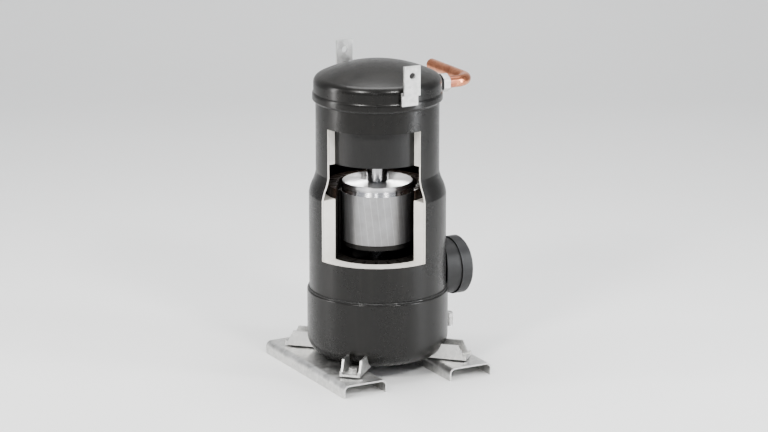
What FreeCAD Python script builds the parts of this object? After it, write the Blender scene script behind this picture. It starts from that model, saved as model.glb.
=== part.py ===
import FreeCAD, Part
import math
import os
import Sketcher

# Hermetic scroll compressor on two base rails, with a display window cut in
# the shell.  Units are millimetres.  The compressor axis is Z.  The origin is
# on that axis, in the top face of the two rails: the plane the rails are
# bolted through.  Heights below are first given from the floor and are moved
# down by floor_z, so the floor under the rails is at Z = floor_z.

doc = FreeCAD.newDocument("ScrollCompressor")
spec = doc.addObject("Spreadsheet::Sheet", "Spec")
V = FreeCAD.Vector
row_count = [0]


class Q:
    """A size that carries its number and the sheet expression behind it."""

    def __init__(self, value, text):
        self.v = float(value)
        self.e = text

    def __add__(self, other):
        o = q(other)
        return Q(self.v + o.v, "(%s + %s)" % (self.e, o.e))

    def __radd__(self, other):
        return q(other) + self

    def __sub__(self, other):
        o = q(other)
        return Q(self.v - o.v, "(%s - %s)" % (self.e, o.e))

    def __rsub__(self, other):
        return q(other) - self

    def __mul__(self, other):
        o = q(other)
        return Q(self.v * o.v, "(%s * %s)" % (self.e, o.e))

    def __rmul__(self, other):
        return q(other) * self

    def __truediv__(self, other):
        o = q(other)
        return Q(self.v / o.v, "(%s / %s)" % (self.e, o.e))

    def __neg__(self):
        return Q(-self.v, "(0 - %s)" % self.e)


def q(value):
    if isinstance(value, Q):
        return value
    return Q(value, repr(round(float(value), 6)) if value >= 0 else "(0 - %r)" % round(-float(value), 6))


def size(alias, value, note):
    row_count[0] += 1
    n = row_count[0]
    spec.set("A%d" % n, alias)
    spec.set("B%d" % n, repr(value))
    spec.set("C%d" % n, note)
    spec.setAlias("B%d" % n, alias)
    return Q(value, "Spec." + alias)


def bind(obj, prop, value):
    value = q(value)
    obj.setExpression(prop, value.e)


# ---------------------------------------------------------------- the sizes
floor_z = size("floor_z", -24.0, "floor under the rails, below the mounting plane")
cup_r = size("cup_r", 131.0, "outer radius of the bottom cup")
cup_base = size("cup_base", 26.0, "underside of the bottom cup above the floor")
cup_top = size("cup_top", 152.0, "rim of the bottom cup")
cup_corner = size("cup_corner", 38.0, "bottom corner radius of the cup")
wall = size("wall", 4.0, "shell sheet thickness")
shell_r = size("shell_r", 127.0, "outer radius of the lower shell")
neck_r = size("neck_r", 114.0, "outer radius of the upper shell")
flare_low = size("flare_low", 334.0, "start of the flare")
flare_high = size("flare_high", 375.0, "end of the flare")
shell_low = size("shell_low", 134.0, "lower end of the shell, inside the cup")
shell_high = size("shell_high", 513.0, "upper end of the shell, inside the cap")
cap_r = size("cap_r", 120.0, "radius of the cap's lower lip")
cap_body_r = size("cap_body_r", 118.0, "radius of the cap above the lip")
cap_low = size("cap_low", 509.0, "lower edge of the cap")
cap_apex = size("cap_apex", 580.0, "top of the cap")
window_low = size("window_low", 220.0, "sill of the display window")
window_high = size("window_high", 467.0, "head of the display window")
window_span = size("window_span", 96.6, "angle the window takes out, degrees")
window_mid = size("window_mid", 237.0, "middle of the window, degrees from X towards Y")
cut_in_r = size("cut_in_r", 96.6, "radius where the painted cut faces end")
gap = size("gap", 0.3, "free gap between pieces that only sit beside each other")
run_gap = size("run_gap", 0.05, "radial clearance of a running fit")
rail_x = size("rail_x", 110.0, "rail centre from the middle")
rail_wide = size("rail_wide", 88.0, "rail width")
rail_long = size("rail_long", 318.0, "rail length")
rail_high = size("rail_high", 24.0, "rail height")
rail_wall = size("rail_wall", 3.0, "rail sheet thickness")
rail_bend = size("rail_bend", 11.0, "outside bend radius of the rail")
foot_pitch = size("foot_pitch", 110.0, "foot bolt from the middle, along X and along Y")
base_hole_y = size("base_hole_y", 143.0, "outer rail hole from the middle, along Y")
base_hole_r = size("base_hole_r", 5.5, "outer rail hole radius")
orbit = size("orbit", 5.4, "orbit radius of the moving scroll")
wrap_step = size("wrap_step", 10.0, "half the pitch of the scroll wraps")
wrap_wall = size("wrap_wall", 4.2, "scroll wrap thickness")
wrap_start = size("wrap_start", 12.0, "mean radius of the innermost half turn")
wrap_high = size("wrap_high", 20.0, "scroll wrap height")
rotor_r = size("rotor_r", 67.0, "rotor outside radius")
rotor_low = size("rotor_low", 246.0, "lower end of the rotor stack")
rotor_high = size("rotor_high", 338.0, "upper end of the rotor stack")
stator_low = size("stator_low", 196.0, "lower end of the stator stack")
stator_high = size("stator_high", 334.0, "upper end of the stator stack")
shaft_r = size("shaft_r", 17.5, "main journal radius")
pin_r = size("pin_r", 11.0, "crank pin radius")
tube_r = size("tube_r", 11.1, "discharge tube outside radius, 22.2 mm tube")
suction_r = size("suction_r", 14.3, "suction tube outside radius, 28.6 mm tube")
tube_wall = size("tube_wall", 1.2, "copper tube wall")
box_r = size("box_r", 54.5, "terminal box radius")
box_z = size("box_z", 172.0, "terminal box centre height")
doc.recompute()


# ---------------------------------------------------------------- helpers
def z_(value):
    """Height above the floor turned into model height."""
    return q(value) + floor_z


def place(obj, x=0, y=0, z=None, rot=None):
    """Bind an object's position; rot is ((axis), angle) with a fixed axis."""
    x, y = q(x), q(y)
    z = q(0) if z is None else q(z)
    r = FreeCAD.Rotation() if rot is None else FreeCAD.Rotation(V(*rot[0]), q(rot[1]).v)
    obj.Placement = FreeCAD.Placement(V(x.v, y.v, z.v), r)
    bind(obj, "Placement.Base.x", x)
    bind(obj, "Placement.Base.y", y)
    bind(obj, "Placement.Base.z", z)
    if rot is not None and isinstance(rot[1], Q):
        bind(obj, "Placement.Rotation.Angle", rot[1])
    return obj


serial = [0]


def new(kind, hint):
    serial[0] += 1
    return doc.addObject(kind, "%s_%03d" % (hint, serial[0]))


AXES = {"+Z": None, "-Z": ((1, 0, 0), 180), "+X": ((0, 1, 0), 90), "-X": ((0, 1, 0), -90),
        "+Y": ((1, 0, 0), -90), "-Y": ((1, 0, 0), 90)}


def cyl(radius, length, x=0, y=0, z=0, axis="+Z", angle=None, spin=None):
    """Part cylinder starting at a point and running along an axis."""
    c = new("Part::Cylinder", "Cyl")
    bind(c, "Radius", radius)
    bind(c, "Height", length)
    if angle is not None:
        bind(c, "Angle", angle)
    rot = AXES[axis] if spin is None else ((0, 0, 1), spin)
    return place(c, x, y, z_(z), rot)


def cone(r1, r2, length, x=0, y=0, z=0, axis="+Z"):
    c = new("Part::Cone", "Cone")
    bind(c, "Radius1", r1)
    bind(c, "Radius2", r2)
    bind(c, "Height", length)
    return place(c, x, y, z_(z), AXES[axis])


def box(lx, ly, lz, x=0, y=0, z=0, centre="xy"):
    """Part box; the letters in centre are the directions it is centred in."""
    b = new("Part::Box", "Box")
    lx, ly, lz = q(lx), q(ly), q(lz)
    bind(b, "Length", lx)
    bind(b, "Width", ly)
    bind(b, "Height", lz)
    x, y, z = q(x), q(y), z_(z)
    if "x" in centre:
        x = x - lx / 2
    if "y" in centre:
        y = y - ly / 2
    if "z" in centre:
        z = z - lz / 2
    return place(b, x, y, z)


def ring(r_out, r_in, length, x=0, y=0, z=0, axis="+Z"):
    over = 1
    a = cyl(r_out, length, x, y, z, axis)
    back = {"+Z": (0, 0, -1), "+X": (-1, 0, 0), "+Y": (0, -1, 0), "-Y": (0, 1, 0), "-X": (1, 0, 0), "-Z": (0, 0, 1)}[axis]
    b = cyl(r_in, q(length) + 2 * over, q(x) + back[0] * over, q(y) + back[1] * over, q(z) + back[2] * over, axis)
    return cut(a, b)


def fuse(*parts):
    f = new("Part::MultiFuse", "Fuse")
    f.Shapes = list(parts)
    return f


def cut(base, *tools):
    c = new("Part::Cut", "Cut")
    c.Base = base
    c.Tool = tools[0] if len(tools) == 1 else fuse(*tools)
    return c


def common(*parts):
    c = new("Part::MultiCommon", "Common")
    c.Shapes = list(parts)
    return c


def group(*parts):
    g = new("Part::Compound", "Group")
    g.Links = list(parts)
    return g


def turned(obj, angle):
    """A linked copy of an object turned about Z."""
    g = new("Part::Compound", "Turned")
    g.Links = [obj]
    g.Placement = FreeCAD.Placement(V(0, 0, 0), FreeCAD.Rotation(V(0, 0, 1), q(angle).v))
    if isinstance(angle, Q):
        bind(g, "Placement.Rotation.Angle", angle)
    return g


def plane(body, role):
    for f in body.Origin.OriginFeatures:
        if f.Role == role:
            return f


def profile(sk, loop):
    """Closed loop of lines and arcs, every corner held by two sheet sizes.

    loop is a list of (x, y) or (x, y, radius, turn): turn +1 is an arc that
    runs anticlockwise to the next corner, -1 clockwise.
    """
    n = len(loop)
    first = sk.GeometryCount
    ends = []
    for i in range(n):
        a, b = loop[i], loop[(i + 1) % n]
        p = V(q(a[0]).v, q(a[1]).v, 0)
        r = V(q(b[0]).v, q(b[1]).v, 0)
        if len(a) == 4:
            rad, turn = q(a[2]).v, a[3]
            d = r - p
            half = d.Length / 2
            side = math.sqrt(max(rad * rad - half * half, 0))
            left = V(-d.y, d.x, 0)
            left.normalize()
            c = (p + r) * 0.5 + left * side * turn
            s, e = (p, r) if turn > 0 else (r, p)
            a0 = math.atan2(s.y - c.y, s.x - c.x)
            a1 = math.atan2(e.y - c.y, e.x - c.x)
            if a1 < a0:
                a1 += 2 * math.pi
            sk.addGeometry(Part.ArcOfCircle(Part.Circle(c, V(0, 0, 1), rad), a0, a1), False)
            ends.append((1, 2) if turn > 0 else (2, 1))
        else:
            sk.addGeometry(Part.LineSegment(p, r), False)
            ends.append((1, 2))
    for i in range(n):
        j = (i + 1) % n
        sk.addConstraint(Sketcher.Constraint("Coincident", first + i, ends[i][1], first + j, ends[j][0]))
    for i in range(n):
        for word, value in (("DistanceX", q(loop[i][0])), ("DistanceY", q(loop[i][1]))):
            if abs(value.v) < 1e-9:
                axis = -2 if word == "DistanceX" else -1
                sk.addConstraint(Sketcher.Constraint("PointOnObject", first + i, ends[i][0], axis))
            else:
                k = sk.addConstraint(Sketcher.Constraint(word, -1, 1, first + i, ends[i][0], value.v))
                bind(sk, "Constraints[%d]" % k, value)
        if len(loop[i]) == 4:
            k = sk.addConstraint(Sketcher.Constraint("Radius", first + i, q(loop[i][2]).v))
            bind(sk, "Constraints[%d]" % k, loop[i][2])


def circle(sk, x, y, radius):
    x, y, radius = q(x), q(y), q(radius)
    g = sk.addGeometry(Part.Circle(V(x.v, y.v, 0), V(0, 0, 1), radius.v), False)
    for word, value in (("DistanceX", x), ("DistanceY", y)):
        if abs(value.v) < 1e-9:
            sk.addConstraint(Sketcher.Constraint("PointOnObject", g, 3, -2 if word == "DistanceX" else -1))
        else:
            k = sk.addConstraint(Sketcher.Constraint(word, -1, 1, g, 3, value.v))
            bind(sk, "Constraints[%d]" % k, value)
    k = sk.addConstraint(Sketcher.Constraint("Radius", g, radius.v))
    bind(sk, "Constraints[%d]" % k, radius)


def sketch(body, role, lift=None):
    sk = body.newObject("Sketcher::SketchObject", "Sketch_%03d" % serial[0])
    serial[0] += 1
    sk.AttachmentSupport = (plane(body, role), [""])
    sk.MapMode = "FlatFace"
    if lift is not None:
        lift = q(lift)
        sk.AttachmentOffset = FreeCAD.Placement(V(0, 0, lift.v), FreeCAD.Rotation())
        bind(sk, "AttachmentOffset.Base.z", lift)
    return sk


def lathe(loop, x=0, y=0, z=None):
    """PartDesign body turned about its own Z from a radius and height loop."""
    body = new("PartDesign::Body", "Body")
    sk = sketch(body, "XZ_Plane")
    profile(sk, loop)
    rv = body.newObject("PartDesign::Revolution", "Turn_%03d" % serial[0])
    rv.Profile = sk
    rv.ReferenceAxis = (sk, ["V_Axis"])
    rv.Angle = 360
    body.Tip = rv
    sk.Visibility = False
    place(body, x, y, floor_z if z is None else z)
    return body


def padded(loops, height, z=0, circles=()):
    """PartDesign body: sketch in the XY plane, padded upwards."""
    body = new("PartDesign::Body", "Body")
    sk = sketch(body, "XY_Plane")
    for loop in loops:
        profile(sk, loop)
    for c in circles:
        circle(sk, *c)
    pd = body.newObject("PartDesign::Pad", "Pad_%03d" % serial[0])
    pd.Profile = sk
    bind(pd, "Length", height)
    body.Tip = pd
    place(body, 0, 0, z_(z))
    return body


def pocket(body, z_model, depth, circles=(), loops=(), up=False):
    """Pocket from a sketch at a height in the body's own frame."""
    sk = sketch(body, "XY_Plane", z_model)
    for loop in loops:
        profile(sk, loop)
    for c in circles:
        circle(sk, *c)
    pk = body.newObject("PartDesign::Pocket", "Pocket_%03d" % serial[0])
    pk.Profile = sk
    pk.Reversed = up
    bind(pk, "Length", depth)
    body.Tip = pk
    return pk


NODES = []


def node(obj, label, body=None):
    """Name a finished piece."""
    obj.Label = label
    NODES.append(obj)
    return obj

# ---------------------------------------------------------------- shell
node(lathe([(0, cup_base), (cup_r - cup_corner, cup_base, cup_corner, 1), (cup_r, cup_base + cup_corner),
            (cup_r, cup_top - 3, 3, 1), (cup_r - 3, cup_top), (shell_r + gap, cup_top), (shell_r + gap, cup_base + cup_corner, cup_corner - wall, -1),
            (cup_r - cup_corner, cup_base + wall), (0, cup_base + wall)]), "lower_cup")


def window(r_in, r_out, low=window_low, high=window_high):
    """Wedge taken out by the display window between two radii."""
    w = cyl(r_out, high - low, 0, 0, low, spin=window_mid - window_span / 2, angle=window_span)
    if r_in is None:
        return w
    return cut(w, cyl(r_in, high - low + 2, 0, 0, low - 1))


mid_r = (shell_r + neck_r) / 2
mid_z = (flare_low + flare_high) / 2
shell_turn = lathe([(shell_r, shell_low), (shell_r, flare_low, 70, 1), (mid_r, mid_z, 70, -1), (neck_r, flare_high),
                    (neck_r, shell_high), (neck_r - wall, shell_high), (neck_r - wall, flare_high, 74, 1),
                    (mid_r - wall, mid_z, 66, -1), (shell_r - wall, flare_low), (shell_r - wall, shell_low)])
term_hole = cyl(21, 30, 105, 0, 184, "+X")
suct_hole = cyl(14.6, 40, 0, 90, 432, "+Y")
node(cut(shell_turn, window(None, 200), term_hole, suct_hole), "center_shell")

# The dome's two faces are spheres centred on the axis.
dome_h = cap_apex - (cap_low + 45)
dome_in_h = cap_apex - 5 - (cap_low + 40.5)
dome_r = (dome_h * dome_h + 110 * 110) / (dome_h * 2)
dome_in_r = (dome_in_h * dome_in_h + 106 * 106) / (dome_in_h * 2)
cap_turn = lathe([(neck_r + gap, cap_low), (cap_r - 2.5, cap_low, 2.5, 1), (cap_r, cap_low + 2.5), (cap_r, cap_low + 10, 9, 1),
                  (cap_body_r, cap_low + 16), (cap_body_r, cap_low + 31.7, 15, 1), (110, cap_low + 45, dome_r, 1),
                  (0, cap_apex), (0, cap_apex - 5, dome_in_r, -1), (106, cap_low + 40.5, 12, -1), (neck_r - 1, cap_low + 32), (neck_r - 1, cap_low + 7),
                  (neck_r + gap, cap_low + 7)])
disch_z = size("disch_z", 524.0, "discharge fitting height")
node(cut(cap_turn, cyl(9.6, 40, 100, 0, disch_z, "+X")), "top_cap")

node(lathe([(shell_r, cup_top), (shell_r + 2.8, cup_top, 3.2, 1), (shell_r, cup_top + 3.2)]), "girth_weld_lower")
node(lathe([(neck_r, cap_low), (neck_r, cap_low - 3.2, 3.2, 1), (neck_r + 3.0, cap_low)]), "girth_weld_upper")

# ------------------------------------------------------------ lifting lugs
lug_w = size("lug_w", 33.0, "lifting lug width")
lug_t = size("lug_t", 4.5, "lifting lug thickness")
lug_hole = size("lug_hole", 6.0, "lifting lug hole radius")
lug_jog = size("lug_jog", 8.5, "how far the holed plate stands out from the welded foot")


def lug(side):
    """Bent lug: welded foot on the cap, jog outwards, upright holed plate."""
    foot = box(lug_w, lug_t, 22, 0, side * (cap_body_r + lug_t / 2 + 2.1), 520)
    jog = box(lug_w, lug_jog + lug_t, lug_t, 0, side * (cap_body_r + 2.1 + (lug_jog + lug_t) / 2), 540)
    plate = box(lug_w, lug_t, 55, 0, side * (cap_body_r + 2.1 + lug_jog + lug_t / 2), 540)
    hole = cyl(lug_hole, 40, 0, side * (cap_body_r - 20), 577, "+Y" if side > 0 else "-Y")
    return cut(fuse(foot, jog, plate), hole)


f = lug(-1)
node(f, "lifting_lug_front")
node(lug(1), "lifting_lug_rear")
node(group(box(26, 2.6, 3, 0, -(cap_r + 0.3), 517), box(26, 2.6, 3, 0, cap_r + 0.3, 517)), "lug_welds")

# ------------------------------------------------------ discharge and suction
node(cut(fuse(cyl(17, 14, 117.5, 0, disch_z, "+X"), cyl(13.5, 6, 131.5, 0, disch_z, "+X")), cyl(9.6, 30, 110, 0, disch_z, "+X")), "discharge_fitting")


def hexagon(across, length, x, y, z, axis="+X"):
    """Hexagonal prism with its flats this far apart."""
    p = new("Part::Prism", "Hex")
    p.Polygon = 6
    bind(p, "Circumradius", q(across) / 1.7320508)
    bind(p, "Height", length)
    return place(p, x, y, z_(z), AXES[axis])


node(cut(common(hexagon(32, 13, 132, 0, disch_z), cyl(17.4, 13, 132, 0, disch_z, "+X")), cyl(13.8, 8, 130, 0, disch_z, "+X"), cyl(tube_r + gap, 30, 130, 0, disch_z, "+X")), "discharge_nut")

bend = size("bend", 30.0, "centreline bend radius of the discharge elbow")
tip = size("tip", 197.0, "discharge tube centreline beyond the elbow, from the axis")
tube_end = size("tube_end", 150.0, "open end of the discharge tube along Y")


def pipe(r_out, r_in):
    straight = cyl(r_out, tip - bend - 138.2, 138.2, 0, disch_z, "+X")
    t = new("Part::Torus", "Elbow")
    bind(t, "Radius1", bend)
    bind(t, "Radius2", r_out)
    t.Angle3 = 90
    place(t, tip - bend, bend, z_(disch_z), ((0, 0, 1), -90))
    run = cyl(r_out, tube_end - bend, tip, bend, disch_z, "+Y")
    return fuse(straight, t, run)


node(cut(pipe(tube_r, 0), pipe(tube_r - tube_wall, 0)), "discharge_tube")
node(ring(22, suction_r - tube_wall, 12, 0, 112, 432, "+Y"), "suction_fitting")
node(ring(suction_r, suction_r - tube_wall, 61, 0, 124.1, 432, "+Y"), "suction_tube")

# -------------------------------------------------------------- terminal box
shell_out = cyl(cup_r + gap, 400, 0, 0, 60)
tb = cut(cyl(52, 42, 118, 0, box_z, "+X"), cyl(49, 60, 116, 0, box_z, "+X"))
plate = cut(cyl(49.2, 8, 126, 0, box_z, "+X"), cyl(24.5, 30, 116, 0, 184, "+X"))
gland_hole = cyl(9.5, 30, 141.5, 35, box_z - 12, "+Y")
node(cut(fuse(tb, plate), shell_out, gland_hole), "terminal_box_base")
cover = cut(fuse(cyl(box_r, 20, 152, 0, box_z, "+X"), cone(box_r, 50.5, 4, 172, 0, box_z, "+X")), cyl(52 + gap, 20.5, 151, 0, box_z, "+X"))
node(cover, "terminal_box_cover")
pin_holes = [cyl(2.7, 30, 115, 9.5 * math.cos(a), 184 + 9.5 * math.sin(a), "+X") for a in (math.pi / 2, math.pi * 7 / 6, math.pi * 11 / 6)]
node(cut(fuse(cyl(20.6, 9, 121, 0, 184, "+X"), cyl(23.5, 2.5, 127.3, 0, 184, "+X")), cyl(17, 6, 120, 0, 184, "+X"), *pin_holes), "terminal_block")
pins = [cyl(2.6, 22, 119, 9.5 * math.cos(a), 184 + 9.5 * math.sin(a), "+X") for a in (math.pi / 2, math.pi * 7 / 6, math.pi * 11 / 6)]
node(group(*pins), "terminal_pins")
node(cut(fuse(cyl(9.2, 19, 141.5, 44, box_z - 12, "+Y"), cyl(10, 4, 141.5, 54.2, box_z - 12, "+Y")), cyl(6, 30, 141.5, 40, box_z - 12, "+Y")), "cable_gland")

# ------------------------------------------------- oil valve and sight glass
node(fuse(cyl(5.5, 22, 130.5, 0, 62, "+X"), cyl(8.4, 15, 152, 0, 54, "+Z"), cyl(6, 5, 152, 0, 68.9, "+Z")), "oil_valve_body")
node(cut(fuse(cyl(8.4, 9, 152, 0, 69.6, "+Z"), cyl(6.5, 1.5, 152, 0, 78.5, "+Z")), cyl(6.2, 5, 152, 0, 69.3, "+Z")), "oil_valve_cap")
node(ring(19, 13.6, 12, 0, 130.2, 92, "+Y"), "sight_glass_body")
node(cyl(13.4, 5, 0, 134.5, 92, "+Y"), "sight_glass_lens")

# -------------------------------------------------------------- rails, feet
def rail(side, label):
    o = rail_wide / 2
    body = new("PartDesign::Body", "Body")
    sk = sketch(body, "XZ_Plane")
    b, w, h_ = rail_bend, rail_wall, rail_high
    profile(sk, [(-o, 0), (w - o, 0), (w - o, h_ - b, b - w, -1), (b - o, h_ - w), (o - b, h_ - w, b - w, -1), (o - w, h_ - b),
                 (o - w, 0), (o, 0), (o, h_ - b, b, 1), (o - b, h_), (b - o, h_, b, 1), (-o, h_ - b)])
    pd = body.newObject("PartDesign::Pad", "Pad_%03d" % serial[0])
    pd.Profile = sk
    pd.Midplane = True
    bind(pd, "Length", rail_long)
    body.Tip = pd
    pocket(body, rail_high + 1, 8, circles=[(0, base_hole_y, base_hole_r), (0, -base_hole_y, base_hole_r), (0, foot_pitch, 5.2), (0, -foot_pitch, 5.2)])
    place(body, side * rail_x, 0, floor_z)
    node(body, label)


rail(-1, "rail_left")
rail(1, "rail_right")

foot_w = size("foot_w", 38.0, "foot bracket width")
foot_out = size("foot_out", 176.0, "outer end of a foot bracket from the axis")
foot_h = size("foot_h", 28.0, "height of the foot bracket's upright sides")
cup_solid = lathe([(0, cup_base), (cup_r - cup_corner, cup_base, cup_corner, 1), (cup_r, cup_base + cup_corner), (cup_r, cup_top), (0, cup_top)])
foot_r = foot_pitch * math.sqrt(2)
for turn_, label in ((45, "foot_bracket_rear_right"), (135, "foot_bracket_rear_left"), (225, "foot_bracket_front_left"), (315, "foot_bracket_front_right")):
    chan = cut(box(foot_out - 92, foot_w, foot_h, 92, 0, 27.2, "y"), box(foot_out - 60, foot_w - 8, foot_h, 80, 0, 31.2, "y"))
    slope = box(60, 60, 40, 0, 0, 0, "y")
    place(slope, foot_out - 6, -30, z_(34), ((0, 1, 0), -24))
    arm = cut(chan, slope, cyl(5.2, 20, foot_r, 0, 20))
    node(cut(turned(arm, turn_), cup_solid), label)
spots = [(sx * foot_pitch, sy * foot_pitch) for sx in (-1, 1) for sy in (-1, 1)]
node(group(*[cut(cyl(15, 3, x, y, rail_high), cyl(5.2, 5, x, y, rail_high - 1)) for x, y in spots]), "foot_grommets")
node(group(*[cut(cyl(10, 2, x, y, 31.2), cyl(5.1, 4, x, y, 30.2)) for x, y in spots]), "foot_washers")
node(group(*[fuse(cyl(4.9, 22, x, y, 13), common(hexagon(15, 6.4, x, y, 33.2, "+Z"), cyl(8.4, 6.4, x, y, 33.2))) for x, y in spots]), "foot_bolts")
node(group(*[cut(hexagon(15, 7, x, y, 13.9, "+Z"), cyl(4.95, 9, x, y, 13)) for x, y in spots]), "foot_nuts")

# -------------------------------------------------------------------- motor
st_r = shell_r - wall - gap
core = ring(st_r, rotor_r + 0.9, stator_high - stator_low, 0, 0, stator_low)
slots = [turned(box(23, 6, 200, 84, 0, stator_low - 20), a) for a in range(0, 360, 15)]
terminal_recess = cyl(24.5, 20, 113, 0, 184, "+X")
# straight-sided opening between the axis and the window, as wide as the
# window is where its painted faces end
bay_half = size("bay_half", 72.0, "half width of the opening through the stator")
bay = turned(box(200, bay_half * 2, window_high - window_low, 0, 0, window_low, "y"), window_mid)
node(cut(core, window(None, 200), bay, fuse(*slots), terminal_recess), "stator_core")
node(cut(ring(95, 74, 18, 0, 0, stator_high + 0.2), window(None, 200), bay), "winding_upper")
node(ring(95, 74, 20, 0, 0, stator_low - 20.2), "winding_lower")
node(group(*[turned(cyl(2.4, 50, 79.5, 0, 352.6, "+Z"), a) for a in (60, 68, 76)]), "motor_leads")
node(ring(rotor_r, 20.1, rotor_high - rotor_low, 0, 0, rotor_low), "rotor_core")
node(lathe([(20.1, rotor_high + 0.05), (rotor_r - 0.5, rotor_high + 0.05), (rotor_r - 3, rotor_high + 8), (20.1, rotor_high + 8)]), "rotor_end_ring_upper")
node(ring(rotor_r - 3, 20.1, 10, 0, 0, rotor_low - 10.05), "rotor_end_ring_lower")

node(lathe([(20.1, 346.1), (rotor_r - 4, 346.1), (rotor_r - 4, 348), (rotor_r - 1.5, 349.5), (rotor_r - 1.5, 355), (rotor_r - 2.5, 356), (20.1, 356)]), "counterweight_upper")
node(cut(ring(48, 20.1, 22, 0, 0, 213.8), box(120, 60, 40, 0, -35, 205)), "counterweight_lower")

shaft = fuse(cyl(15, 40, 0, 0, 148), cyl(20, 206.2, 0, 0, 187.5), cyl(shaft_r, 49.4, 0, 0, 393.5), cyl(pin_r, 15.5, orbit, 0, 442.5))
node(cut(shaft, cyl(3, 400, 6, 0, 140)), "crankshaft")
node(lathe([(4, 100), (9, 100), (9, 147.9), (5, 147.9)]), "oil_pickup")

# --------------------------------------------------------- bearing housings
hub_out = size("hub_out", 109.7, "outside of the main bearing housing")
mbh = lathe([(20.6, 392), (34, 392), (42, 408), (84, 408), (84, 400), (hub_out, 400), (hub_out, 469), (94, 469), (94, 453),
             (58, 453), (58, 461), (34.5, 461), (34.5, 441), (20.6, 441)])
key_slots = group(box(30, 10.3, 9, 76, 0, 446), box(30, 10.3, 9, -76, 0, 446))
node(cut(mbh, window(cut_in_r, 200), key_slots, cyl(3.5, 90, 84, 0, 390), turned(cyl(12, 14, 100, 0, 460), 90)), "main_bearing_housing")
node(ring(20.5, shaft_r + run_gap, 46, 0, 0, 394), "main_bearing_bush")
arms = [turned(place(box(98, 22, 10, 0, 0, 0, "y"), 24, -11, z_(150)), a) for a in (30, 150, 270)]
node(cut(fuse(ring(28, 18.1, 34, 0, 0, 150), ring(st_r, 114, 10, 0, 0, 150), *arms), cyl(18.1, 60, 0, 0, 140)), "lower_bearing_housing")
node(ring(18, 15 + run_gap, 32, 0, 0, 151), "lower_bearing_bush")
node(ring(26, 20.6, 2, 0, 0, 184.8), "thrust_washer")

# ------------------------------------------------------------------ scrolls
half = wrap_step / 2
TURNS = 6


def wrap(z, sign, shift):
    """Scroll wrap of semicircles with two alternating centres.

    The wall's two faces are arcs about the same centres; both ends are
    closed by straight lines on the X axis.
    """
    body = new("PartDesign::Body", "Wrap")
    sk = sketch(body, "XY_Plane")
    arcs = []
    for face in (1, -1):
        for k in range(TURNS):
            c = half * (1 if k % 2 == 0 else -1) * sign + shift
            rad = wrap_start + wrap_step * k + wrap_wall / 2 * face
            up = (k % 2 == 1) if sign > 0 else (k % 2 == 0)
            a0 = 0 if up else math.pi
            g = sk.addGeometry(Part.ArcOfCircle(Part.Circle(V(c.v, 0, 0), V(0, 0, 1), rad.v), a0, a0 + math.pi), False)
            if abs(c.v) < 1e-9:
                sk.addConstraint(Sketcher.Constraint("PointOnObject", g, 3, -2))
            else:
                m = sk.addConstraint(Sketcher.Constraint("DistanceX", -1, 1, g, 3, c.v))
                bind(sk, "Constraints[%d]" % m, c)
            sk.addConstraint(Sketcher.Constraint("PointOnObject", g, 3, -1))
            sk.addConstraint(Sketcher.Constraint("PointOnObject", g, 2, -1))
            if k == 0:
                m = sk.addConstraint(Sketcher.Constraint("Radius", g, rad.v))
                bind(sk, "Constraints[%d]" % m, rad)
                sk.addConstraint(Sketcher.Constraint("PointOnObject", g, 1, -1))
            else:
                sk.addConstraint(Sketcher.Constraint("Coincident", arcs[-1], 2, g, 1))
            arcs.append(g)
    for pos, a, b in ((1, arcs[0], arcs[TURNS]), (2, arcs[TURNS - 1], arcs[-1])):
        pa, pb = sk.getPoint(a, pos), sk.getPoint(b, pos)
        g = sk.addGeometry(Part.LineSegment(pa, pb), False)
        sk.addConstraint(Sketcher.Constraint("Coincident", g, 1, a, pos))
        sk.addConstraint(Sketcher.Constraint("Coincident", g, 2, b, pos))
    pd = body.newObject("PartDesign::Pad", "Pad_%03d" % serial[0])
    pd.Profile = sk
    bind(pd, "Length", wrap_high)
    body.Tip = pd
    return place(body, 0, 0, z_(z))


plate_z = size("plate_z", 461.6, "underside of the moving scroll's plate")
plate_t = size("plate_t", 8.0, "moving scroll plate thickness")
root_z = plate_z + plate_t
orb = fuse(cyl(80, plate_t, orbit, 0, plate_z), wrap(root_z - 0.2, -1, orbit), cyl(25, 18.2, orbit, 0, 443.6))
orb_slots = group(box(10.3, 34, 6.3, orbit, 78, plate_z - 0.3), box(10.3, 34, 6.3, orbit, -78, plate_z - 0.3))
node(cut(orb, cyl(18.05, 16, orbit, 0, 443), orb_slots), "orbiting_scroll")
node(ring(18, 15 + run_gap, 14.5, orbit, 0, 443.8), "orbiting_bearing")
node(ring(15, pin_r + 0.02, 13, orbit, 0, 445.2), "drive_bush")
fix_z = root_z + wrap_high + 0.3
fixed = cut(fuse(ring(106, 88, 22, 0, 0, 469.2), cyl(106, 13.4, 0, 0, 489.8), wrap(root_z + 0.3, 1, 0), ring(62, 56, 9, 0, 0, 503), ring(28, 23, 9, 0, 0, 503)),
            cyl(6, 60, 0, 0, 485), turned(box(40, 34, 14, 96, 0, 473), 90))
bolt_at = [turned(cyl(3.6, 60, 98, 0, 455), a) for a in (15, 75, 135, 195, 255, 315)]
node(cut(fixed, fuse(*bolt_at)), "fixed_scroll")
node(group(*[turned(fuse(cyl(3.3, 34.3, 98, 0, 469.4), cyl(6, 2.4, 98, 0, 503.3)), a) for a in (15, 75, 135, 195, 255, 315)]), "scroll_bolts")
node(ring(86, 65, 5, orbit, 0, 453.4), "oldham_ring")
node(group(box(16, 10, 6, orbit + 75.5, 0, 447.38), box(16, 10, 6, orbit - 75.5, 0, 447.38),
           box(10, 16, 8.6, orbit, 75.5, 458.42), box(10, 16, 8.6, orbit, -75.5, 458.42)), "oldham_keys")
node(cyl(11, 1.6, 0, 0, 503.3), "check_valve_disc")
node(cut(lathe([(12, 503.45), (18, 503.45), (18, 512), (5, 512), (5, 510.2), (12, 510.2)]), box(50, 5, 4.5, 0, 0, 505.2)), "check_valve_cage")
node(ring(55.7, 28.3, 11.4, 0, 0, 504.4), "floating_seal")
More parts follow.
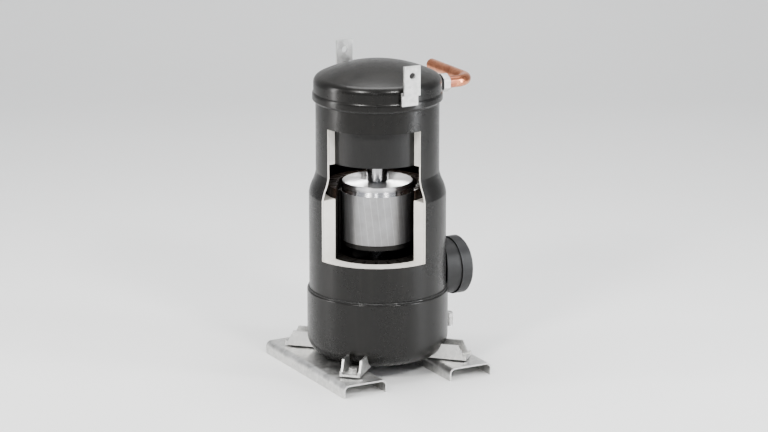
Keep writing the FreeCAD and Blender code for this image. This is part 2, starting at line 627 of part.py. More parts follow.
node(lathe([(34, 517), (60, 517), (98, 506), (neck_r - wall - 0.4, 506), (neck_r - wall - 0.4, 509), (99, 509), (60, 520), (34, 520)]), "separator_plate")

# ------------------------------------------------------------ check and write
doc.recompute()
faults = []
for obj in doc.Objects:
    if "Invalid" in obj.State or "Error" in obj.State:
        faults.append("%s (%s) %s" % (obj.Label, obj.TypeId, obj.State))
for obj in NODES:
    shape = obj.Shape
    if shape.isNull() or not shape.isValid() or not shape.Solids:
        faults.append("%s has no valid solid" % obj.Label)
if faults:
    raise RuntimeError("; ".join(faults))
os.makedirs("parts", exist_ok=True)
for obj in NODES:
    obj.Shape.exportStep("parts/" + obj.Label + ".step")
    bb = obj.Shape.BoundBox
    print("%-26s solids %2d volume %10.0f  x %7.1f %7.1f  y %7.1f %7.1f  z %7.1f %7.1f" % (
        obj.Label, len(obj.Shape.Solids), obj.Shape.Volume, bb.XMin, bb.XMax, bb.YMin, bb.YMax, bb.ZMin, bb.ZMax))
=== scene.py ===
import math
import bpy
import bmesh
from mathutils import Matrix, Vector


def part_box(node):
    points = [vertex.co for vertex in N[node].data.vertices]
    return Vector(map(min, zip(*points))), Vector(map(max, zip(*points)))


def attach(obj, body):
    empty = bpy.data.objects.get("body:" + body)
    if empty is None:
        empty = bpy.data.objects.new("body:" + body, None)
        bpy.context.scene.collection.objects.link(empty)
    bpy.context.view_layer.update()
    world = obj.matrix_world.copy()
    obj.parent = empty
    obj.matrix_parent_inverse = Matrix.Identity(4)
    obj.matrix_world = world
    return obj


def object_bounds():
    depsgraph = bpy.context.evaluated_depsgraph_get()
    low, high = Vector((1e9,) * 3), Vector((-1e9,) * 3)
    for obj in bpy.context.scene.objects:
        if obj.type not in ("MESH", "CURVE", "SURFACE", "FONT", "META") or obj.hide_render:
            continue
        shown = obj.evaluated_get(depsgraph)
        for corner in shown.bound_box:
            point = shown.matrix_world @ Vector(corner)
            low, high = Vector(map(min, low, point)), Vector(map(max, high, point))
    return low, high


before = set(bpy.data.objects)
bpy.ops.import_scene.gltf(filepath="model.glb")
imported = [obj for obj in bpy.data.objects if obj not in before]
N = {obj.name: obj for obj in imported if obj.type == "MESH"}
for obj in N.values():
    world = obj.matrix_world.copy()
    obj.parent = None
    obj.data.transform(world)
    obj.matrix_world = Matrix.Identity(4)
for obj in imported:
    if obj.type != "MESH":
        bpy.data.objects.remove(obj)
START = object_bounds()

CUT_R = 0.0966          # painted cut faces run from the shell in to this radius


# ------------------------------------------------------------------ node tools
class Mat:
    """A small builder round one procedural material."""

    def __init__(self, name):
        self.m = bpy.data.materials.new(name)
        self.m.use_nodes = True
        self.t = self.m.node_tree
        self.n = self.t.nodes
        self.bsdf = self.n["Principled BSDF"]
        self.co = self.add("ShaderNodeTexCoord").outputs["Object"]
        self.geo = self.add("ShaderNodeNewGeometry")

    def add(self, kind, **props):
        node = self.n.new(kind)
        for k, v in props.items():
            setattr(node, k, v)
        return node

    def put(self, socket, value):
        if hasattr(value, "is_output"):
            self.t.links.new(value, socket)
        else:
            socket.default_value = value

    def noise(self, scale, detail=3.0, rough=0.55, stretch=None, dist=0.0):
        co = self.co
        if stretch:
            mp = self.add("ShaderNodeMapping")
            mp.inputs["Scale"].default_value = stretch
            self.t.links.new(co, mp.inputs["Vector"])
            co = mp.outputs["Vector"]
        nz = self.add("ShaderNodeTexNoise")
        self.t.links.new(co, nz.inputs["Vector"])
        nz.inputs["Scale"].default_value = scale
        nz.inputs["Detail"].default_value = detail
        nz.inputs["Roughness"].default_value = rough
        nz.inputs["Distortion"].default_value = dist
        return nz.outputs["Fac"]

    def span(self, fac, a, b, c, d):
        """Map a..b to c..d, clamped."""
        r = self.add("ShaderNodeMapRange")
        self.put(r.inputs["Value"], fac)
        for key, v in (("From Min", a), ("From Max", b), ("To Min", c), ("To Max", d)):
            r.inputs[key].default_value = v
        return r.outputs["Result"]

    def math(self, op, a, b=0.0):
        x = self.add("ShaderNodeMath", operation=op)
        self.put(x.inputs[0], a)
        self.put(x.inputs[1], b)
        return x.outputs[0]

    def vec(self, op, a, b=None):
        x = self.add("ShaderNodeVectorMath", operation=op)
        self.put(x.inputs[0], a)
        if b is not None:
            self.put(x.inputs[1], b)
        return x.outputs["Value"] if op in ("DOT_PRODUCT", "LENGTH") else x.outputs["Vector"]

    def mix(self, fac, a, b):
        x = self.add("ShaderNodeMix", data_type="RGBA")
        self.put(x.inputs["Factor"], fac)
        self.put(x.inputs[6], (*a, 1) if isinstance(a, tuple) else a)
        self.put(x.inputs[7], (*b, 1) if isinstance(b, tuple) else b)
        return x.outputs[2]

    def mixf(self, fac, a, b):
        x = self.add("ShaderNodeMix", data_type="FLOAT")
        self.put(x.inputs["Factor"], fac)
        self.put(x.inputs[2], a)
        self.put(x.inputs[3], b)
        return x.outputs[0]

    def bump(self, layers):
        """layers: (height socket, strength, distance in metres)."""
        out = None
        for h, s, d in layers:
            b = self.add("ShaderNodeBump")
            self.put(b.inputs["Height"], h)
            self.put(b.inputs["Strength"], s)
            self.put(b.inputs["Distance"], d)
            if out is not None:
                self.t.links.new(out, b.inputs["Normal"])
            out = b.outputs["Normal"]
        self.t.links.new(out, self.bsdf.inputs["Normal"])

    def set(self, **kw):
        for k, v in kw.items():
            self.put(self.bsdf.inputs[k.replace("_", " ")], v)

    def xyz(self, socket=None):
        s = self.add("ShaderNodeSeparateXYZ")
        self.t.links.new(socket or self.co, s.inputs[0])
        return s.outputs

    def flat(self, v):
        """A vector with its height removed."""
        return self.vec("MULTIPLY", v, (1, 1, 0))

    def radial(self):
        """How far each face looks away from or towards the shaft, 0 to 1."""
        d = self.vec("NORMALIZE", self.flat(self.co))
        return self.math("ABSOLUTE", self.vec("DOT_PRODUCT", self.geo.outputs["True Normal"], d))

    def radius(self):
        return self.vec("LENGTH", self.flat(self.co))

    def up(self):
        return self.xyz(self.geo.outputs["Normal"])[2]

    def edge(self, r=0.0012):
        """1 at worn sharp edges, 0 on open faces."""
        b = self.add("ShaderNodeBevel")
        b.samples = 4
        b.inputs["Radius"].default_value = r
        d = self.vec("DOT_PRODUCT", b.outputs["Normal"], self.geo.outputs["Normal"])
        return self.span(d, 0.93, 0.999, 1.0, 0.0)


def black_coat(m):
    """Satin black enamel: orange peel, faint runs, dust on what faces up."""
    big = m.noise(9, 4, 0.6)
    fine = m.noise(240, 2, 0.5)
    speck = m.span(m.noise(620, 2, 0.7), 0.70, 0.76, 0, 1)
    dust = m.math("MULTIPLY", m.span(m.up(), 0.35, 1.0, 0, 1), m.span(m.noise(28, 6, 0.7), 0.35, 0.75, 0.15, 1))
    runs = m.span(m.noise(16, 4, 0.6, (6, 6, 0.5)), 0.5, 0.8, 0, 1)
    col = m.mix(m.span(big, 0.3, 0.7, 0, 1), (0.0065, 0.0061, 0.0056), (0.0120, 0.0112, 0.0102))
    col = m.mix(m.math("MULTIPLY", dust, 0.05), col, (0.20, 0.18, 0.155))
    col = m.mix(m.math("MULTIPLY", runs, 0.12), col, (0.045, 0.040, 0.034))
    col = m.mix(m.math("MULTIPLY", speck, 0.05), col, (0.09, 0.083, 0.075))
    rough = m.math("ADD", m.span(big, 0.3, 0.7, 0.25, 0.34), m.math("MULTIPLY", dust, 0.2))
    rough = m.math("ADD", rough, m.math("MULTIPLY", m.span(fine, 0.3, 0.7, -1, 1), 0.025))
    return col, rough, [(m.noise(330, 2, 0.5), 0.09, 0.0004), (m.noise(60, 2, 0.5), 0.08, 0.0012)]


def white_paint(m):
    """Cream paint brushed on a sawn face."""
    stain = m.span(m.noise(45, 6, 0.7), 0.35, 0.75, 0, 1)
    brush = m.noise(90, 3, 0.6, (12, 12, 0.6))
    col = m.mix(stain, (0.80, 0.775, 0.73), (0.69, 0.66, 0.61))
    col = m.mix(m.span(brush, 0.62, 0.8, 0, 0.35), col, (0.55, 0.52, 0.47))
    rough = m.span(brush, 0.3, 0.7, 0.36, 0.55)
    return col, rough, (brush, 0.35, 0.0005)


def cut_shell(name):
    m = Mat(name)
    col, rough, layers = black_coat(m)
    wcol, wrough, wb = white_paint(m)
    f = m.span(m.radial(), 0.35, 0.42, 1, 0)
    m.set(Base_Color=m.mix(f, col, wcol), Roughness=m.mixf(f, rough, wrough))
    m.bump(layers + [wb])
    m.set(Coat_Weight=0.12, Coat_Roughness=0.16, Specular_IOR_Level=0.36)
    return m.m


def plain_black(name):
    m = Mat(name)
    col, rough, layers = black_coat(m)
    e = m.math("MULTIPLY", m.edge(), m.span(m.noise(70, 5, 0.7), 0.45, 0.7, 0, 0.5))
    m.set(Base_Color=m.mix(e, col, (0.17, 0.16, 0.15)), Roughness=m.math("ADD", rough, m.math("MULTIPLY", e, 0.15)))
    m.bump(layers)
    m.set(Coat_Weight=0.12, Coat_Roughness=0.14, Specular_IOR_Level=0.36)
    return m.m


def weld(name):
    """Painted arc-weld bead with its ripples running round the shell."""
    m = Mat(name)
    col, rough, layers = black_coat(m)
    g = m.add("ShaderNodeTexGradient", gradient_type="RADIAL")
    m.t.links.new(m.co, g.inputs["Vector"])
    tri = m.math("ADD", m.math("MULTIPLY", g.outputs["Fac"], 330.0), m.math("MULTIPLY", m.noise(60, 3, 0.6), 1.1))
    rip = m.math("FRACT", tri)
    rip = m.math("POWER", m.math("SINE", m.math("MULTIPLY", rip, math.pi)), 0.6)
    m.set(Base_Color=m.mix(m.span(rip, 0, 0.5, 0.45, 0), col, (0.012, 0.011, 0.010)), Roughness=m.math("ADD", rough, 0.05))
    m.bump([(rip, 0.9, 0.0011), (m.noise(400, 3, 0.6), 0.3, 0.0004)])
    m.set(Coat_Weight=0.25)
    return m.m


def zinc(name, bright=1.0):
    """Zinc plate: spangle, pale bloom, fine rolling lines, scuffed edges."""
    m = Mat(name)
    v = m.add("ShaderNodeTexVoronoi")
    v.inputs["Scale"].default_value = 150
    m.t.links.new(m.co, v.inputs["Vector"])
    cell = m.xyz(v.outputs["Color"])[0]
    bloom = m.span(m.noise(22, 6, 0.65, None, 0.6), 0.42, 0.72, 0, 1)
    lines = m.noise(700, 2, 0.5, (1, 0.04, 1))
    col = m.mix(cell, (0.55 * bright, 0.55 * bright, 0.54 * bright), (0.70 * bright, 0.695 * bright, 0.68 * bright))
    col = m.mix(m.math("MULTIPLY", bloom, 0.45), col, (0.78, 0.775, 0.76))
    grime = m.math("MULTIPLY", m.span(m.noise(75, 5, 0.7), 0.58, 0.8, 0, 1), 0.5)
    col = m.mix(grime, col, (0.31, 0.28, 0.235))
    e = m.edge(0.001)
    col = m.mix(m.math("MULTIPLY", e, 0.35), col, (0.82, 0.82, 0.81))
    rough = m.math("ADD", m.span(cell, 0, 1, 0.27, 0.38), m.math("MULTIPLY", bloom, 0.18))
    m.set(Base_Color=col, Metallic=0.96, Roughness=m.math("ADD", rough, m.math("MULTIPLY", lines, 0.08)))
    m.bump([(m.noise(300, 3, 0.5), 0.10, 0.0005), (lines, 0.10, 0.0003)])
    return m.m


def turned_steel(name, lo=(0.56, 0.56, 0.57), hi=(0.72, 0.72, 0.73), rough=(0.13, 0.2), aniso=0.75, lay="z", pitch=2600.0, tint=None, spin=0.25):
    """Lathe-turned metal: fine circular tool lines, soft stains, stretched glints."""
    m = Mat(name)
    tan = m.add("ShaderNodeTangent", direction_type="RADIAL", axis="Z")
    r = m.radius()
    z = m.xyz()[2]
    along = m.math("ADD", m.math("MULTIPLY", r, pitch), m.math("MULTIPLY", z, pitch))
    w = m.add("ShaderNodeTexNoise", noise_dimensions="1D")
    m.t.links.new(along, w.inputs["W"])
    w.inputs["Scale"].default_value = 1.0
    w.inputs["Detail"].default_value = 4
    stain = m.noise(32, 5, 0.6)
    col = m.mix(m.span(w.outputs["Fac"], 0.35, 0.65, 0, 1), lo, hi)
    col = m.mix(m.span(stain, 0.55, 0.8, 0, 0.35), col, tint or (0.40, 0.385, 0.36))
    m.set(Base_Color=col, Metallic=1.0, Roughness=m.math("ADD", m.span(w.outputs["Fac"], 0.3, 0.7, *rough), m.span(stain, 0.4, 0.8, 0, 0.08)),
          Anisotropic=aniso, Anisotropic_Rotation=spin)
    m.t.links.new(tan.outputs["Tangent"], m.bsdf.inputs["Tangent"])
    m.bump([(w.outputs["Fac"], 0.12, 0.00025)])
    return m.m


def rotor_steel(name):
    """Ground rotor skin: laminations edge-on, skewed bar ends just showing."""
    m = Mat(name)
    tan = m.add("ShaderNodeTangent", direction_type="RADIAL", axis="Z")
    z = m.xyz()[2]
    lam = m.math("FRACT", m.math("MULTIPLY", z, 1000.0))
    lam = m.math("GREATER_THAN", lam, 0.82)
    g = m.add("ShaderNodeTexGradient", gradient_type="RADIAL")
    m.t.links.new(m.co, g.inputs["Vector"])
    bar = m.math("FRACT", m.math("ADD", m.math("MULTIPLY", g.outputs["Fac"], 34.0), m.math("MULTIPLY", z, 9.0)))
    bar = m.math("LESS_THAN", m.math("ABSOLUTE", m.math("SUBTRACT", bar, 0.5)), 0.055)
    stain = m.noise(26, 5, 0.62)
    col = m.mix(m.span(stain, 0.4, 0.75, 0, 1), (0.42, 0.42, 0.43), (0.33, 0.325, 0.32))
    col = m.mix(m.math("MULTIPLY", lam, 0.22), col, (0.28, 0.275, 0.27))
    col = m.mix(m.math("MULTIPLY", bar, 0.30), col, (0.66, 0.66, 0.67))
    m.set(Base_Color=col, Metallic=0.8, Roughness=m.math("ADD", m.span(stain, 0.4, 0.8, 0.40, 0.50), m.math("MULTIPLY", lam, 0.08)),
          Anisotropic=0.5, Anisotropic_Rotation=0.25)
    m.t.links.new(tan.outputs["Tangent"], m.bsdf.inputs["Tangent"])
    m.bump([(lam, 0.10, 0.00015)])
    return m.m


def stator(name):
    """Stacked sheet steel; its sawn faces are cream outside, varnished inside."""
    m = Mat(name)
    wcol, wrough, wb = white_paint(m)
    z = m.xyz()[2]
    lam = m.math("GREATER_THAN", m.math("FRACT", m.math("MULTIPLY", z, 1000.0)), 0.6)
    dark = m.mix(m.noise(50, 4, 0.6), (0.008, 0.0075, 0.007), (0.022, 0.018, 0.014))
    dark = m.mix(m.math("MULTIPLY", lam, 0.4), dark, (0.010, 0.009, 0.009))
    f = m.math("MULTIPLY", m.span(m.radial(), 0.3, 0.4, 1, 0), m.span(m.radius(), CUT_R - 0.0004, CUT_R + 0.0002, 0, 1))
    m.set(Base_Color=m.mix(f, dark, wcol), Roughness=m.mixf(f, m.span(m.noise(90, 3, 0.6), 0.3, 0.7, 0.42, 0.62), wrough))
    m.bump([(lam, 0.25, 0.0002), wb])
    return m.m


def housing(name):
    """Black-painted bearing casting; the sawn outer ring is cream."""
    m = Mat(name)
    wcol, wrough, wb = white_paint(m)
    sand = m.noise(420, 4, 0.65)
    dark = m.mix(m.noise(30, 4, 0.6), (0.008, 0.0078, 0.0075), (0.015, 0.0145, 0.014))
    f = m.math("MULTIPLY", m.span(m.radial(), 0.3, 0.4, 1, 0), m.span(m.radius(), CUT_R + 0.0002, CUT_R + 0.0008, 0, 1))
    m.set(Base_Color=m.mix(f, dark, wcol), Roughness=m.mixf(f, m.span(sand, 0.3, 0.7, 0.38, 0.58), wrough))
    m.bump([(sand, 0.35, 0.0005), wb])
    return m.m


def casting(name, a=(0.10, 0.098, 0.095), b=(0.17, 0.165, 0.16)):
    m = Mat(name)
    sand = m.noise(380, 5, 0.65)
    m.set(Base_Color=m.mix(m.noise(24, 4, 0.6), a, b), Metallic=0.7, Roughness=m.span(sand, 0.3, 0.7, 0.42, 0.62))
    m.bump([(sand, 0.4, 0.0006)])
    return m.m


def copper(name):
    """Drawn copper: patchy tarnish, heat bloom near the brazed end, die lines."""
    m = Mat(name)
    tarn = m.noise(36, 6, 0.65, None, 0.8)
    drops = m.span(m.noise(190, 4, 0.6), 0.62, 0.74, 0, 1)
    x = m.xyz()[0]
    heat = m.math("MULTIPLY", m.span(x, 0.138, 0.168, 1, 0), m.span(m.noise(80, 4, 0.6), 0.3, 0.6, 0.35, 1))
    col = m.mix(m.span(tarn, 0.35, 0.72, 0, 1), (0.76, 0.345, 0.205), (0.42, 0.165, 0.095))
    col = m.mix(m.math("MULTIPLY", drops, 0.35), col, (0.30, 0.15, 0.11))
    col = m.mix(m.math("MULTIPLY", heat, 0.75), col, (0.24, 0.11, 0.12))
    lines = m.noise(500, 2, 0.5, (1, 0.05, 1))
    m.set(Base_Color=col, Metallic=1.0, Roughness=m.math("ADD", m.span(tarn, 0.3, 0.75, 0.17, 0.36), m.math("MULTIPLY", heat, 0.12)))
    m.bump([(lines, 0.10, 0.0003), (m.noise(60, 3, 0.5), 0.08, 0.0012)])
    return m.m


def winding(name):
    """Lacquered magnet wire, packed and laced."""
    m = Mat(name)
    g = m.add("ShaderNodeTexGradient", gradient_type="RADIAL")
    m.t.links.new(m.co, g.inputs["Vector"])
    turns = m.math("ADD", m.math("MULTIPLY", g.outputs["Fac"], 26.0), m.math("MULTIPLY", m.noise(40, 3, 0.5), 0.7))
    band = m.math("POWER", m.math("ABSOLUTE", m.math("SINE", m.math("MULTIPLY", turns, math.pi))), 0.35)
    wire = m.noise(330, 3, 0.6, (1, 1, 5))
    col = m.mix(m.span(wire, 0.35, 0.65, 0, 1), (0.016, 0.009, 0.006), (0.048, 0.024, 0.013))
    col = m.mix(m.span(band, 0.2, 0.6, 0.8, 0), col, (0.02, 0.015, 0.012))
    m.set(Base_Color=col, Roughness=m.span(wire, 0.3, 0.7, 0.25, 0.45), Coat_Weight=0.4, Coat_Roughness=0.2)
    m.bump([(wire, 0.6, 0.0012), (band, 0.8, 0.003)])
    return m.m


def plastic(name, a=(0.014, 0.014, 0.0145), b=(0.024, 0.0235, 0.0235), r=(0.40, 0.52)):
    m = Mat(name)
    grain = m.noise(900, 2, 0.5)
    e = m.math("MULTIPLY", m.edge(), 0.3)
    col = m.mix(e, m.mix(m.noise(35, 4, 0.6), a, b), (0.14, 0.14, 0.14))
    m.set(Base_Color=col, Roughness=m.span(grain, 0.3, 0.7, *r))
    m.bump([(grain, 0.25, 0.0003)])
    return m.m


def glass(name):
    m = Mat(name)
    m.set(Base_Color=m.mix(m.noise(60, 2, 0.5), (0.93, 0.96, 0.95), (0.85, 0.92, 0.90)), Roughness=m.span(m.noise(200, 2, 0.5), 0.3, 0.7, 0.02, 0.07),
          Transmission_Weight=0.9, IOR=1.5)
    m.bump([(m.noise(120, 2, 0.5), 0.03, 0.0003)])
    return m.m


# ------------------------------------------------------------------ the finish
M_SHELL = cut_shell("coat_cut_shell")
M_COAT = plain_black("coat_satin_black")
M_WELD = weld("weld_bead")
M_ZINC = zinc("zinc_plate")
M_ZINC2 = zinc("zinc_fastener", 0.9)
M_ROTOR = rotor_steel("rotor_ground")
M_TURN = turned_steel("steel_turned", (0.60, 0.60, 0.61), (0.78, 0.78, 0.79), (0.30, 0.38), 0.82)
M_SHAFT = turned_steel("steel_shaft", (0.42, 0.42, 0.43), (0.58, 0.58, 0.59), (0.18, 0.26), 0.4)
M_ALU = turned_steel("aluminium_turned", (0.70, 0.70, 0.71), (0.84, 0.84, 0.85), (0.16, 0.24), 0.7)
M_BRONZE = turned_steel("bronze_turned", (0.46, 0.31, 0.14), (0.62, 0.44, 0.22), (0.22, 0.32), 0.3, tint=(0.25, 0.17, 0.09))
M_CAST = casting("casting_grey")
M_DARKCAST = casting("casting_dark", (0.035, 0.034, 0.033), (0.07, 0.068, 0.065))

finish = {
    "center_shell": M_SHELL, "lower_cup": M_COAT, "top_cap": M_COAT, "discharge_fitting": M_COAT, "suction_fitting": M_COAT,
    "girth_weld_lower": M_WELD, "girth_weld_upper": M_WELD, "lug_welds": M_WELD,
    "discharge_tube": copper("copper_drawn"), "winding_upper": winding("winding_lacquer"),
    "stator_core": stator("stator_stack"), "main_bearing_housing": housing("housing_black"),
    "rotor_core": M_ROTOR, "counterweight_upper": M_TURN, "rotor_end_ring_upper": M_ALU, "rotor_end_ring_lower": M_DARKCAST,
    "crankshaft": M_SHAFT, "oil_pickup": M_SHAFT, "counterweight_lower": M_DARKCAST, "lower_bearing_housing": M_DARKCAST,
    "fixed_scroll": M_CAST, "orbiting_scroll": M_CAST, "oldham_ring": M_ALU, "oldham_keys": M_ALU, "separator_plate": M_CAST,
    "floating_seal": M_CAST, "check_valve_disc": M_TURN, "check_valve_cage": M_TURN, "scroll_bolts": M_SHAFT,
    "terminal_block": M_SHAFT, "terminal_pins": M_SHAFT,
    "terminal_box_base": plastic("plastic_box"), "terminal_box_cover": plastic("plastic_cover", (0.020, 0.020, 0.021), (0.032, 0.032, 0.033)),
    "cable_gland": plastic("plastic_gland", (0.018, 0.018, 0.019), (0.03, 0.03, 0.03)),
    "motor_leads": plastic("lead_sleeve", (0.05, 0.045, 0.04), (0.09, 0.08, 0.07)),
    "foot_grommets": plastic("rubber_isolator", (0.014, 0.014, 0.014), (0.026, 0.025, 0.024), (0.6, 0.8)),
    "sight_glass_lens": glass("sight_glass"),
}
finish["winding_lower"] = finish["winding_upper"]
finish["suction_tube"] = finish["discharge_tube"]
for n in ("lifting_lug_front", "lifting_lug_rear", "rail_left", "rail_right", "foot_bracket_rear_right", "foot_bracket_rear_left",
          "foot_bracket_front_left", "foot_bracket_front_right"):
    finish[n] = M_ZINC
for n in ("foot_washers", "foot_bolts", "foot_nuts", "discharge_nut", "oil_valve_body", "oil_valve_cap", "sight_glass_body"):
    finish[n] = M_ZINC2
for n in ("main_bearing_bush", "lower_bearing_bush", "orbiting_bearing", "drive_bush", "thrust_washer"):
    finish[n] = M_BRONZE
for name, obj in N.items():
    obj.data.materials.clear()
    obj.data.materials.append(finish[name])

# soft pressed and sawn edges on the sheet-metal pieces and fasteners
for n, w in (("lifting_lug_front", 0.0007), ("lifting_lug_rear", 0.0007), ("foot_bracket_rear_right", 0.0006), ("foot_bracket_rear_left", 0.0006),
             ("foot_bracket_front_left", 0.0006), ("foot_bracket_front_right", 0.0006), ("foot_bolts", 0.0005), ("discharge_nut", 0.0008),
             ("foot_washers", 0.0003)):
    b = N[n].modifiers.new("Edge", "BEVEL")
    b.width = w
    b.segments = 2
    b.limit_method = "ANGLE"
    b.angle_limit = math.radians(40)


# ------------------------------------------------------------------ small looks
def mesh(name, bm, material, body, smooth=True):
    me = bpy.data.meshes.new(name)
    bm.to_mesh(me)
    bm.free()
    for p in me.polygons:
        p.use_smooth = smooth
    ob = bpy.data.objects.new(name, me)
    bpy.context.collection.objects.link(ob)
    me.materials.append(material)
    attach(ob, body)
    return ob


def tube_mesh(points, radius, sides=12, closed=False):
    """Round bar through a list of points."""
    bm = bmesh.new()
    rings = []
    count = len(points)
    for i, p in enumerate(points):
        a = points[(i - 1) % count] if (closed or i > 0) else p
        b = points[(i + 1) % count] if (closed or i < count - 1) else p
        d = (b - a).normalized()
        u = d.cross(Vector((0, 0, 1)))
        if u.length < 1e-4:
            u = d.cross(Vector((1, 0, 0)))
        u.normalize()
        v = d.cross(u)
        r = radius(i / max(count - 1, 1)) if callable(radius) else radius
        rings.append([bm.verts.new(p + (u * math.cos(t) + v * math.sin(t)) * r) for t in [2 * math.pi * k / sides for k in range(sides)]])
    pairs = list(zip(rings, rings[1:])) + ([(rings[-1], rings[0])] if closed else [])
    for r0, r1 in pairs:
        for k in range(sides):
            bm.faces.new((r0[k], r0[(k + 1) % sides], r1[(k + 1) % sides], r1[k]))
    if not closed:
        bm.faces.new(rings[0])
        bm.faces.new(rings[-1])
    bmesh.ops.recalc_face_normals(bm, faces=bm.faces)
    return bm


# weld fillets where the discharge fitting and each lifting lug meet the shell
lo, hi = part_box("discharge_fitting")
zc = (lo.z + hi.z) / 2
pts = []
for k in range(64):
    t = 2 * math.pi * k / 64
    y, z = 0.0172 * math.cos(t), 0.0172 * math.sin(t)
    wob = 0.0004 * math.sin(9 * t) + 0.0003 * math.sin(23 * t)
    pts.append(Vector((math.sqrt(0.1183 ** 2 - y * y) + 0.0008 + wob, y, zc + z)))
mesh("weld_discharge", tube_mesh(pts, 0.0021, 8, True), M_COAT, "shell")

for side, n in ((-1, "lifting_lug_front"), (1, "lifting_lug_rear")):
    lo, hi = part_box(n)
    for sx in (-1, 1):
        pts = [Vector((sx * (hi.x + 0.0002), side * (0.1196 + 0.0003 * math.sin(i * 1.7)), lo.z + 0.019 * i / 24)) for i in range(25)]
        mesh("weld_lug_%d_%d" % (side + 1, sx + 1), tube_mesh(pts, lambda f: 0.0019 + 0.0004 * math.sin(f * 50), 8), M_COAT, "shell")

# terminal cover screws, set in its face
lo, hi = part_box("terminal_box_cover")
cz = (lo.z + hi.z) / 2
for i, (dy, dz) in enumerate(((0.030, 0.030), (-0.030, -0.030))):
    bm = bmesh.new()
    prof = [(0.0, 0.0052), (0.0012, 0.0052), (0.0022, 0.0040), (0.0026, 0.0018), (0.0026, 0.0)]
    rings = []
    for h, r in prof:
        if r == 0:
            rings.append([bm.verts.new((hi.x + h - 0.0004, dy, cz + dz))])
        else:
            rings.append([bm.verts.new((hi.x + h - 0.0004, dy + r * math.cos(2 * math.pi * k / 24), cz + dz + r * math.sin(2 * math.pi * k / 24))) for k in range(24)])
    for a, b in zip(rings, rings[1:]):
        for k in range(24):
            if len(b) == 1:
                bm.faces.new((a[k], a[(k + 1) % 24], b[0]))
            else:
                bm.faces.new((a[k], a[(k + 1) % 24], b[(k + 1) % 24], b[k]))
    bmesh.ops.recalc_face_normals(bm, faces=bm.faces)
    mesh("cover_screw_%d" % i, bm, M_ZINC2, "box_cover")

# lacing cord round the upper winding
lo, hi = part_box("winding_upper")
zw = (lo.z + hi.z) / 2
mid, span = math.radians(237), math.radians(80)
for i in range(22):
    a = mid + span + (2 * math.pi - 2 * span) * (i + 0.5) / 22
    u = Vector((math.cos(a), math.sin(a), 0))
    pts = []
    for k in range(24):
        t = 2 * math.pi * k / 24
        c, s = math.cos(t), math.sin(t)
        q = 0.4
        pts.append(u * (0.0845 + 0.0111 * math.copysign(abs(c) ** q, c)) + Vector((0, 0, zw + 0.0093 * math.copysign(abs(s) ** q, s))))
    mesh("lacing_%02d" % i, tube_mesh(pts, 0.0011, 6, True), finish["motor_leads"], "shell")

# ------------------------------------------------------------------ stage
lo, hi = START if isinstance(START, (tuple, list)) else (START["low"], START["high"])
FLOOR = lo[2]
mf = Mat("stage_floor")
mf.set(Base_Color=mf.mix(mf.noise(1.2, 4, 0.6), (0.80, 0.80, 0.79), (0.84, 0.84, 0.835)), Roughness=mf.span(mf.noise(8, 3, 0.6), 0.3, 0.7, 0.42, 0.55))
mf.bump([(mf.noise(60, 3, 0.5), 0.05, 0.001)])
AZ, EL = math.radians(-28.3), math.radians(15.0)
to_cam = Vector((math.sin(AZ) * math.cos(EL), -math.cos(AZ) * math.cos(EL), math.sin(EL)))
right = Vector((math.cos(AZ), math.sin(AZ), 0))
flat = Vector((math.sin(AZ), -math.cos(AZ), 0))
bm = bmesh.new()
sweep = [(9.0, 0.0), (-2.2, 0.0)]
for k in range(1, 13):
    t = math.pi / 2 * k / 12
    sweep.append((-2.2 - 1.6 * math.sin(t), 1.6 - 1.6 * math.cos(t)))
sweep.append((-3.8, 6.0))
rows = []
for d, h in sweep:
    rows.append([bm.verts.new(flat * d + right * s + Vector((0, 0, FLOOR + h))) for s in (-9, 9)])
for a, b in zip(rows, rows[1:]):
    bm.faces.new((a[0], a[1], b[1], b[0]))
me = bpy.data.meshes.new("stage_floor")
bm.to_mesh(me)
bm.free()
for p in me.polygons:
    p.use_smooth = True
floor = bpy.data.objects.new("stage_floor", me)
bpy.context.collection.objects.link(floor)
me.materials.append(mf.m)

world = bpy.data.worlds.new("studio")
bpy.context.scene.world = world
world.use_nodes = True
world.node_tree.nodes["Background"].inputs[0].default_value = (0.80, 0.83, 0.88, 1)
world.node_tree.nodes["Background"].inputs[1].default_value = 0.36

aim = Vector((0.0, 0.0, 0.30))


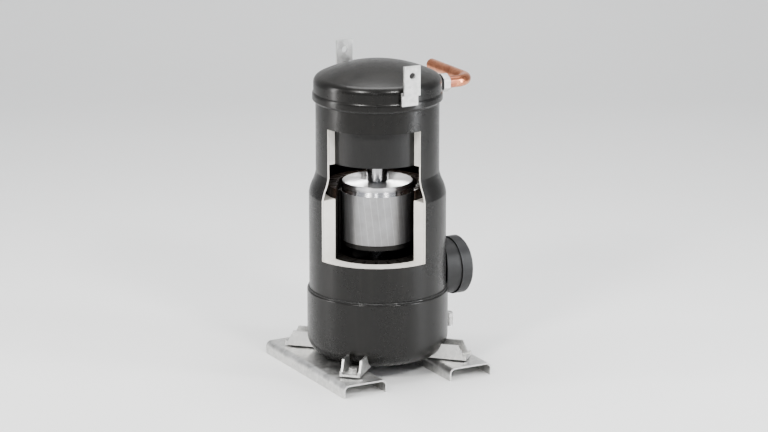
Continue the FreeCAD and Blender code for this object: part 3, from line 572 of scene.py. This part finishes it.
def lamp(name, side, front, height, sx, sy, power, colour=(1, 1, 1), target=aim):
    """Rectangular softbox, placed in the camera's own left, near and up."""
    light = bpy.data.lights.new(name, "AREA")
    light.shape = "RECTANGLE"
    light.size, light.size_y = sx, sy
    light.energy = power
    light.color = colour
    ob = bpy.data.objects.new(name, light)
    bpy.context.collection.objects.link(ob)
    ob.location = target + right * side + flat * front + Vector((0, 0, height))
    ob.rotation_euler = (target - ob.location).to_track_quat("-Z", "Y").to_euler()
    return ob


lamp("key_left", -1.5, 2.4, 2.0, 0.55, 0.5, 46, (1.0, 0.985, 0.96))
lamp("key_right", 1.5, 2.4, 2.0, 0.5, 0.45, 38, (1.0, 0.99, 0.97))
lamp("strip_right", 2.0, 0.6, 0.5, 0.30, 1.7, 22, (0.96, 0.98, 1.0))
lamp("strip_left", -2.2, 0.3, 0.4, 0.30, 1.6, 17, (1.0, 0.985, 0.97))
lamp("top_soft", 0.0, -0.3, 2.6, 2.2, 1.4, 52)
lamp("window_fill", -0.2, 2.7, 0.9, 0.22, 0.8, 2.5, (1, 1, 1), Vector((0, 0, 0.28)))
# two small display lamps tucked behind the shaft, lighting the turned disc
for k, side in (("left", -0.046), ("right", 0.046)):
    lit = lamp("inner_display_" + k, side, -0.066, 0.046, 0.05, 0.012, 0.035, (1.0, 0.99, 0.97), Vector((0, 0, 0.326)))
    lit.rotation_euler = (Vector((0, 0, 0.332)) + flat * 0.02 - lit.location).to_track_quat("-Z", "Y").to_euler()
    lit.visible_camera = False

cam = bpy.data.cameras.new("photo_view")
cam_ob = bpy.data.objects.new("photo_view", cam)
bpy.context.collection.objects.link(cam_ob)
dist = 6.0
cam.sensor_width = 36
cam.lens = 152
cam.clip_end = 60
target = right * 0.012 + Vector((0, 0, 0.262))
cam_ob.location = target + to_cam * dist
cam_ob.rotation_euler = (-to_cam).to_track_quat("-Z", "Y").to_euler()
bpy.context.scene.camera = cam_ob
bpy.context.scene.view_settings.view_transform = "AgX"
bpy.context.scene.view_settings.look = "AgX - Medium High Contrast"
bpy.context.scene.view_settings.exposure = 0.45
